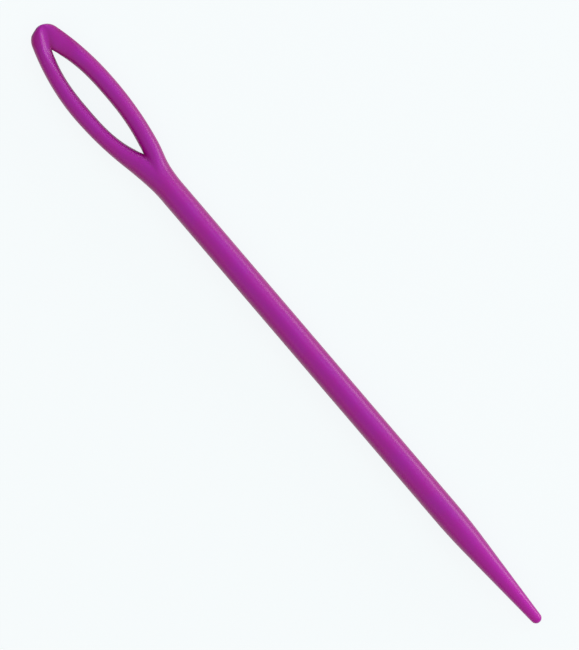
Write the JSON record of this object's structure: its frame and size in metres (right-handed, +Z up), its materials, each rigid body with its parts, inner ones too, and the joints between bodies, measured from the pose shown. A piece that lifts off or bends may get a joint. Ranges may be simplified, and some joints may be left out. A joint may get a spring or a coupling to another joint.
{
  "type": "yarn needle",
  "caption": "Blunt plastic yarn needle with a long open eye at one end, a straight round shaft and a tapered, rounded point.",
  "frame": {"origin": "middle of the needle's length, on the surface that it lies on, straight under the shaft's axis, which is 1.575 mm up; the eye stands slightly off the shaft's line, which puts the middle of the whole box about 0.15 mm further to +Y", "axes": "+X along the needle from the eye to the point, +Y across the width of the eye, +Z up, square to the plane of the eye, so that the eye opens to +Z and -Z"},
  "size_m": [0.09, 0.0065, 0.0032],
  "materials": {
    "needle_plastic": "satin moulded, magenta-violet"
  },
  "bodies": {
    "root": {"eye": "needle_plastic", "shaft": "needle_plastic", "point": "needle_plastic"}
  },
  "joints": []
}
